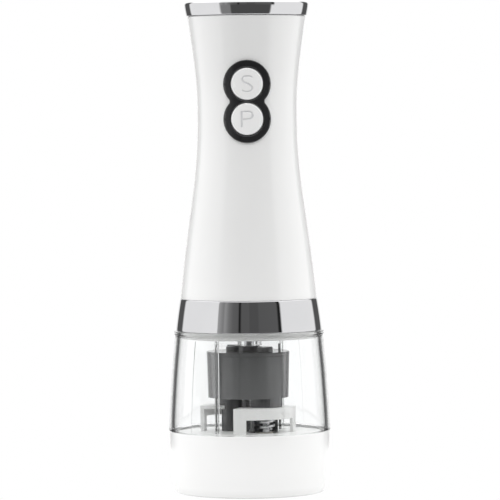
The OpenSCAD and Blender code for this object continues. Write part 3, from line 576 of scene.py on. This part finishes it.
# a plate with two round lobes and two round holes, eased at its edges, laid over the neck between two rises
def makeLobePlate(lobe, hole, low, high, ease):
    curve = bpy.data.curves.new("lobes", 'CURVE')
    curve.dimensions, curve.fill_mode = '2D', 'BOTH'
    upper, lower = buttonShape["centres"]["salt"], buttonShape["centres"]["pepper"]
    middle, half = (upper + lower) / 2, (upper - lower) / 2
    start = math.degrees(math.acos(half / lobe))
    fillet = buttonShape["waist"]  # degrees left out at each side of the waist, which rounds it
    outline = []
    for centre, base in ((upper, -90 + start + fillet), (lower, 90 + start + fillet)):
        span = 360 - 2 * (start + fillet)
        turns = [math.radians(base + span * i / 72) for i in range(73)]
        outline += [(lobe * math.cos(turn), centre + lobe * math.sin(turn)) for turn in turns]
    turns = [2 * math.pi * i / 96 for i in range(96)]
    loops = [outline] + [[(hole * math.cos(turn), z + hole * math.sin(turn)) for turn in turns]
                         for z in (upper, lower)]
    for loop in loops:
        line = curve.splines.new('POLY')
        line.points.add(len(loop) - 1)
        for point, (x, z) in zip(line.points, loop):
            point.co = (x * mm, (z - middle) * mm, 0, 1)
        line.use_cyclic_u = True
    curve.extrude = ((high - low) / 2 - ease) * mm
    curve.bevel_depth, curve.bevel_resolution, curve.offset = ease * mm, 4, -ease * mm
    holder = bpy.data.objects.new("lobes", curve)
    bpy.context.scene.collection.objects.link(holder)
    bpy.context.view_layer.update()
    mesh = bpy.data.meshes.new_from_object(holder.evaluated_get(bpy.context.evaluated_depsgraph_get()))
    bpy.data.objects.remove(holder)
    bm = bmesh.new()
    bm.from_mesh(mesh)
    bmesh.ops.remove_doubles(bm, verts=bm.verts, dist=1e-6)
    for axis, half, count in (((1, 0, 0), 11, 26), ((0, 1, 0), 19, 44)):  # cuts that let it bend
        for i in range(1, count):
            at = (-1 + 2 * i / count) * half * mm
            bmesh.ops.bisect_plane(bm, geom=bm.verts[:] + bm.edges[:] + bm.faces[:], dist=1e-7,
                                   plane_co=(axis[0] * at, axis[1] * at, 0), plane_no=axis)
    for vert in bm.verts:
        x, up, out = vert.co / mm
        z = middle + up
        vert.co = Vector((x, -frontOf(x, z, (low + high) / 2 + out), z)) * mm
    return bm


def makeSurround():
    hole = buttonShape["hole"]
    bm = makeLobePlate(buttonShape["lobe"], hole, 0.02, buttonShape["proud"], buttonShape["ease"])
    plug = makeLobePlate(buttonShape["plug"], hole, -handleShape["wall"] - 0.1, 0.1, 0.05)
    plugMesh = bpy.data.meshes.new("plug")
    plug.to_mesh(plugMesh)
    plug.free()
    bm.from_mesh(plugMesh)
    finishMesh("surroundBezel", bm, "handle", "pianoBlack", ("button_surround",),
               sharp=50)


# where a button's crowned face lies in front of the axis, x and up from the button's centre, in mm
def capFace(x, z, up):
    crown = buttonShape["crown"] * (1 - min(1, (x * x + up * up) / buttonShape["cap"] ** 2))
    return frontOf(x, z + up, buttonShape["capProud"]) + crown


# a button is spun with depth as a label, then each layer is laid on the face, the shell or the back
def makeButton(name, letter):
    z = buttonShape["centres"][name]
    cap, back = buttonShape["cap"], buttonShape["back"]
    wide, tall = buttonShape["flange"]
    rings = 14
    face = [(cap * i / rings, 0) for i in range(rings)]
    bm = bmesh.new()
    points = [*face, (cap, 0), (cap, 0.85), (wide, 0.86), (wide, 1.0), (0, 1.0)]
    verts = [bm.verts.new((p[0] * mm, p[1] * mm, 0)) for p in points]
    for a, b in zip(verts, verts[1:]):
        bm.edges.new((a, b))
    bmesh.ops.bevel(bm, geom=[verts[rings]], offset=0.5 * mm, segments=5, profile=0.5,
                    affect='VERTICES', material=-1)
    bmesh.ops.spin(bm, geom=bm.verts[:] + bm.edges[:], cent=(0, 0, 0), axis=(0, 1, 0),
                   angle=2 * math.pi, steps=96, use_merge=True)
    bmesh.ops.remove_doubles(bm, verts=bm.verts, dist=1e-7)
    for vert in bm.verts:
        x, depth, up = vert.co / mm
        x, up = max(-wide, min(wide, x)), max(-tall, min(tall, up))
        if depth < 0.855:
            y = capFace(x, z, up) - depth * buttonShape["side"]
        elif depth < 0.9:
            y = min(frontOf(x, z + up, -handleShape["wall"] - 0.5), buttonShape["flangeFront"])
        else:
            y = back
        vert.co = Vector((x, -y, z + up)) * mm
    body = name + "_button"
    piece = finishMesh(name + "ButtonCap", bm, body, "buttonWhite",
                       ("button_" + name,), sharp=50)
    words = bpy.data.curves.new("letter", 'FONT')
    words.body, words.align_x, words.align_y = letter, 'CENTER', 'CENTER'
    words.size = buttonShape["letterHeight"] / buttonShape["capitalPart"] * mm
    words.offset = -buttonShape["letterThin"] * mm
    words.extrude = 1.2 * mm
    holder = bpy.data.objects.new("letter", words)
    bpy.context.scene.collection.objects.link(holder)
    bpy.context.view_layer.update()
    mesh = bpy.data.meshes.new_from_object(holder.evaluated_get(bpy.context.evaluated_depsgraph_get()))
    bpy.data.objects.remove(holder)
    cut = bmesh.new()
    cut.from_mesh(mesh)
    bmesh.ops.remove_doubles(cut, verts=cut.verts, dist=1e-7)
    xs, ys = [v.co.x for v in cut.verts], [v.co.y for v in cut.verts]
    middleX, middleY = (min(xs) + max(xs)) / 2, (min(ys) + max(ys)) / 2
    depth = buttonShape["letterDepth"]
    for vert in cut.verts:
        x = (vert.co.x - middleX) / mm * buttonShape["letterStretch"]
        up, out = (vert.co.y - middleY) / mm, vert.co.z / mm
        surface = capFace(x, z, up)
        vert.co = Vector((x, -(surface - depth if out < 0 else surface + 1), z + up)) * mm
    bmesh.ops.recalc_face_normals(cut, faces=cut.faces)
    cutMesh = bpy.data.meshes.new("letterCut")
    cut.to_mesh(cutMesh)
    cut.free()
    cutMesh.materials.append(finishes["letterGrey"])
    cutter = bpy.data.objects.new("letterCut", cutMesh)
    bpy.context.scene.collection.objects.link(cutter)
    cutWith(piece, cutter)


# feed spirals

feedShape = {"in": 2.1, "out": 4.35, "low": 27.9, "high": 37.0, "turns": 3.4, "blade": 1.3}


# a flat steel blade wound round each spindle
def makeFeedSpiral(name, side):
    shape = feedShape
    bm = bmesh.new()
    half = shape["blade"] / 2
    tip = half * 0.7
    profile = [(shape["in"], -half), (shape["out"], -tip), (shape["out"], tip), (shape["in"], half)]
    verts = [bm.verts.new((r * mm, 0, (shape["low"] + half + h) * mm)) for r, h in profile]
    start = bm.faces.new(verts)
    steps = int(shape["turns"] * 40)
    rise = (shape["high"] - shape["low"] - shape["blade"]) / steps
    bmesh.ops.spin(bm, geom=[start, *start.edges, *start.verts], cent=(0, 0, 0), axis=(0, 0, 1),
                   dvec=(0, 0, rise * mm), angle=shape["turns"] * 2 * math.pi, steps=steps, use_merge=False)
    bmesh.ops.recalc_face_normals(bm, faces=bm.faces)
    softEdges(bm, 0.12)
    turn, offset = grinder["turn"] + (math.pi if side < 0 else 0), grinder["offset"] * mm
    away = (math.sin(turn) * offset, -math.cos(turn) * offset, 0)
    bmesh.ops.rotate(bm, verts=bm.verts, cent=(0, 0, 0), matrix=Matrix.Rotation(turn, 3, 'Z'))
    bmesh.ops.translate(bm, verts=bm.verts, vec=away)
    finishMesh(name + "FeedBlade", bm, name + "_grinder", "brightWire",
               ("feed_spring_" + name,), sharp=40)


# battery lid and cells

lidProfile = [(0, 219.2), (24.6, 219.2, 0.3), (25.05, 218.4, 0.2), (26.0, 218.4, 0.1),
              (26.0, 214.0, 0.2), (22.4, 214.0, 0.2), (22.4, 206.8, 0.5), (20.4, 206.8, 0.4),
              (20.4, 211.5, 0.4), (0, 211.5)]


def makeLidPlate():
    bm = turned(lidProfile)
    finishMesh("lidTop", bm, "lid", "satinWhite", ("lid_plate",))


cellShape = {"pitch": 5.75, "y": 3.2, "low": 158.0, "high": 202.5, "radius": 5.25, "band": 8,
             "nub": 1.9, "nubHeight": 0.8,
             "places": ((-1, -1, 1), (1, -1, -1), (1, 1, 1), (-1, 1, -1))}


# a steel can in a printed film, its ends crimped in and one of them with a nub
def makeCells():
    shape = cellShape
    parts = {"cellFilm": bmesh.new(), "cellBand": bmesh.new(), "turnedSteel": bmesh.new()}
    low, high, radius = shape["low"], shape["high"] - shape["nubHeight"], shape["radius"]
    profiles = {
        "cellFilm": [(radius - 0.35, low + 0.1, 0.1), (radius, low + 0.1, 0.3),
                     (radius, high - shape["band"])],
        "cellBand": [(radius, high - shape["band"]), (radius, high, 0.35), (radius - 0.5, high, 0.15),
                     (radius - 0.6, high - 0.35)],
        "turnedSteel": [(0, low), (radius - 0.9, low, 0.2), (radius - 0.4, low + 0.35),
                        (radius - 0.6, high - 0.36), (shape["nub"] + 0.5, high - 0.3, 0.2),
                        (shape["nub"], high + 0.1, 0.15), (shape["nub"], shape["high"], 0.3),
                        (0, shape["high"])],
    }
    middle = (shape["low"] + shape["high"]) / 2 * mm
    for finish, profile in profiles.items():
        for sx, sy, up in shape["places"]:
            one = turned(profile, steps=64)
            if up < 0:
                bmesh.ops.rotate(one, verts=one.verts, cent=(0, 0, middle),
                                 matrix=Matrix.Rotation(math.pi, 3, 'X'))
            bmesh.ops.translate(one, verts=one.verts,
                                vec=(sx * shape["pitch"] * mm, (shape["y"] + sy * shape["pitch"]) * mm, 0))
            mesh = bpy.data.meshes.new("cell")
            one.to_mesh(mesh)
            one.free()
            parts[finish].from_mesh(mesh)
    for finish, bm in parts.items():
        replaced = ("battery_cells",) if finish == "cellFilm" else ()
        finishMesh("cells_" + finish, bm, "handle", finish, replaced,
                   recalc=False)


makeDustCap()
makeContainer()
makePartition()
makeBand()
makeLidRing()
print("turned outside pieces made")
makeShell()
makeSurround()
makeButton("salt", "S")
makeButton("pepper", "P")
print("handle, surround and buttons made")
makeFeedSpiral("pepper", 1)
makeFeedSpiral("salt", -1)
makeLidPlate()
makeCells()
print("feed blades, lid and cells made")

# CAD nodes that keep their shape and get eased edges, by the width of the edge in mm
easedNodes = {
    0.3: [
        "splitter_case", "splitter_lid", "feed_hood_salt", "feed_hood_pepper", "grinder_base",
        "handle_floor", "adjust_knob_salt", "adjust_knob_pepper", "battery_cage", "gear_case",
    ],
    0.12: [
        "base_screw", "drive_shaft", "spindle_salt", "spindle_pepper", "burr_ring_salt",
        "burr_ring_pepper", "burr_cone_salt", "burr_cone_pepper", "floor_screws", "gear_case_screws",
        "output_bush", "output_carrier", "drive_bit", "middle_carrier", "motor_plate", "motor_screws",
        "motor_can", "motor_end_cap", "motor_shaft", "plunger_salt", "plunger_pepper", "switch_board",
        "switch_bodies", "board_screws", "lid_contacts",
    ],
    0.06: [
        "centre_gear", "output_gear_salt", "output_gear_pepper", "planet_low_1", "planet_low_2",
        "planet_low_3", "planet_high_1", "planet_high_2", "planet_high_3", "motor_pinion",
    ],
}
gearFinish = {"output_gear_salt": "smokedPlastic", "output_gear_pepper": "darkNylon",
              "centre_gear": "smokedPlastic"}
# painted shade: the splitter case's faces below 43.1 mm take the darker smoke, standing in for the shade
# under the gearbox
saltTubeShade = {"top": 43.1, "finish": "paintedShadeSmoke"}
for width, nodes in easedNodes.items():
    for node in nodes:
        eased(node, width, gearFinish.get(node, slotFinish[nodeSlot[node]]))
# painted shade on the lower faces of the splitter case
paintShadeBelow(made["splitter_caseEased"], saltTubeShade["top"], saltTubeShade["finish"])
print("CAD nodes eased:", sum(len(nodes) for nodes in easedNodes.values()))

# floor, light and camera

floorShape = {"radius": 0.2, "grey": 0.6, "roughness": 0.7, "glow": 0.3}  # the radius in metres


# a pale table, even white to the camera
def makeFloor():
    bm = bmesh.new()
    bmesh.ops.create_circle(bm, cap_ends=True, segments=128, radius=floorShape["radius"])
    mesh = bpy.data.meshes.new("floor")
    bm.to_mesh(mesh)
    bm.free()
    piece = bpy.data.objects.new("floor", mesh)
    bpy.context.scene.collection.objects.link(piece)
    look = bpy.data.materials.new("paleFloor")
    look.use_nodes = True
    tree = look.node_tree
    shader = tree.nodes["Principled BSDF"]
    shader.inputs["Base Color"].default_value = (*[floorShape["grey"]] * 3, 1)
    shader.inputs["Roughness"].default_value = floorShape["roughness"]
    shader.inputs["Emission Color"].default_value = (1, 1, 1, 1)
    shader.inputs["Emission Strength"].default_value = floorShape["glow"]
    glow = addNode(tree, 'ShaderNodeEmission')
    ray = addNode(tree, 'ShaderNodeLightPath')
    both = addNode(tree, 'ShaderNodeMixShader')
    tree.links.new(ray.outputs["Is Camera Ray"], both.inputs[0])
    tree.links.new(shader.outputs[0], both.inputs[1])
    tree.links.new(glow.outputs[0], both.inputs[2])
    tree.links.new(both.outputs[0], tree.nodes["Material Output"].inputs["Surface"])
    mesh.materials.append(look)


makeFloor()

# light by direction: degrees to the right of the camera's side and a level, in layers by height
studio = {
    "level": [
        (-180, 1.0), (-160, 1.0), (-156, 0.12), (-133, 0.12), (-128, 1.17), (-52, 1.17), (-51, 0.5),
        (-42, 0.3), (-39, 0.42), (-33, 0.26), (-26, 0.17), (-17, 0.15), (-16.5, 0.02), (-13, 0.02),
        (-12.5, 0.14), (0, 0.14), (1.5, 0.115), (15, 0.115), (16, 0.14), (47, 0.15), (48.5, 0.02),
        (52.5, 0.02), (54.5, 1.17), (128, 1.17), (133, 0.12), (156, 0.12), (160, 1.0), (180, 1.0),
    ],
    "below": [
        (-180, 1.0), (-160, 1.0), (-156, 0.12), (-133, 0.12), (-128, 1.17), (-53, 1.17), (-49, 0.3),
        (-31, 0.3), (-29, 0.1), (46, 0.1), (49, 1.17), (128, 1.17), (133, 0.12), (156, 0.12),
        (160, 1.0), (180, 1.0),
    ],
    "deep": 1.0,
    "overhead": 1.9,
    "zenith": 0.8,
    "heights": {
        "deep": (-0.6, -0.5), "below": (-0.22, -0.12), "overhead": (0.4, 0.5), "zenith": (0.84, 0.92),
    },
    "peak": 2.0,
}


def grey(level):
    value = level / studio["peak"]
    return (value, value, value, 1)


def makeStudio():
    world = bpy.data.worlds.new("studio")
    bpy.context.scene.world = world
    world.use_nodes = True
    tree = world.node_tree
    link = tree.links.new
    tree.nodes.clear()
    place = addNode(tree, 'ShaderNodeTexCoord')
    split = addNode(tree, 'ShaderNodeSeparateXYZ')
    link(place.outputs["Generated"], split.inputs["Vector"])
    flip = addNode(tree, 'ShaderNodeMath', operation='MULTIPLY')
    flip.inputs[1].default_value = -1
    link(split.outputs["Y"], flip.inputs[0])
    angle = addNode(tree, 'ShaderNodeMath', operation='ARCTAN2')
    link(split.outputs["X"], angle.inputs[0])
    link(flip.outputs[0], angle.inputs[1])
    part = addNode(tree, 'ShaderNodeMapRange')
    part.inputs["From Min"].default_value = -math.pi
    part.inputs["From Max"].default_value = math.pi
    link(angle.outputs[0], part.inputs["Value"])
    layers = {name: grey(studio[name]) for name in ("deep", "overhead", "zenith")}
    for name in ("below", "level"):
        ramp = addNode(tree, 'ShaderNodeValToRGB')
        bands = ramp.color_ramp.elements
        while len(bands) < len(studio[name]):
            bands.new(0.5)
        for element, (degrees, level) in zip(bands, studio[name]):
            element.position = (degrees + 180) / 360
            element.color = grey(level)
        link(part.outputs["Result"], ramp.inputs["Fac"])
        layers[name] = ramp.outputs["Color"]
    shade = None
    steps = (("deep", "below", "deep"), (None, "level", "below"), (None, "overhead", "overhead"),
             (None, "zenith", "zenith"))
    for low, high, edge in steps:
        lift = addNode(tree, 'ShaderNodeMapRange', interpolation_type='SMOOTHSTEP')
        lift.inputs["From Min"].default_value, lift.inputs["From Max"].default_value = studio["heights"][edge]
        link(split.outputs["Z"], lift.inputs["Value"])
        blend = addNode(tree, 'ShaderNodeMix', data_type='RGBA')
        link(lift.outputs["Result"], blend.inputs["Factor"])
        under = layers[low] if low else shade
        for colour, socket in ((under, blend.inputs[6]), (layers[high], blend.inputs[7])):
            if isinstance(colour, tuple):
                socket.default_value = colour
            else:
                link(colour, socket)
        shade = blend.outputs[2]
    light = addNode(tree, 'ShaderNodeBackground')
    light.inputs["Strength"].default_value = studio["peak"]
    link(shade, light.inputs["Color"])
    white = addNode(tree, 'ShaderNodeBackground')
    white.inputs["Color"].default_value = (1, 1, 1, 1)
    ray = addNode(tree, 'ShaderNodeLightPath')
    both = addNode(tree, 'ShaderNodeMixShader')
    link(ray.outputs["Is Camera Ray"], both.inputs[0])
    link(light.outputs[0], both.inputs[1])
    link(white.outputs[0], both.inputs[2])
    out = addNode(tree, 'ShaderNodeOutputWorld')
    link(both.outputs[0], out.inputs["Surface"])


makeStudio()

cameraView = {"distance": 1521, "height": 161.6, "aimX": 0.77, "aimZ": 108.9, "lens": 243.4, "roll": 0.47}
cameraData = bpy.data.cameras.new("camera")
cameraData.lens = cameraView["lens"]
cameraData.clip_end = 30
camera = bpy.data.objects.new("camera", cameraData)
bpy.context.scene.collection.objects.link(camera)
camera.location = (0, -cameraView["distance"] * mm, cameraView["height"] * mm)
aim = Vector((cameraView["aimX"] * mm, 0, cameraView["aimZ"] * mm)) - camera.location
camera.rotation_mode = 'QUATERNION'
camera.rotation_quaternion = aim.to_track_quat('-Z', 'Y')
camera.rotation_quaternion = camera.rotation_quaternion @ Matrix.Rotation(
    math.radians(-cameraView["roll"]), 4, 'Z').to_quaternion()
bpy.context.scene.camera = camera
bpy.context.scene.view_settings.view_transform = 'Standard'
print("studio and camera made")
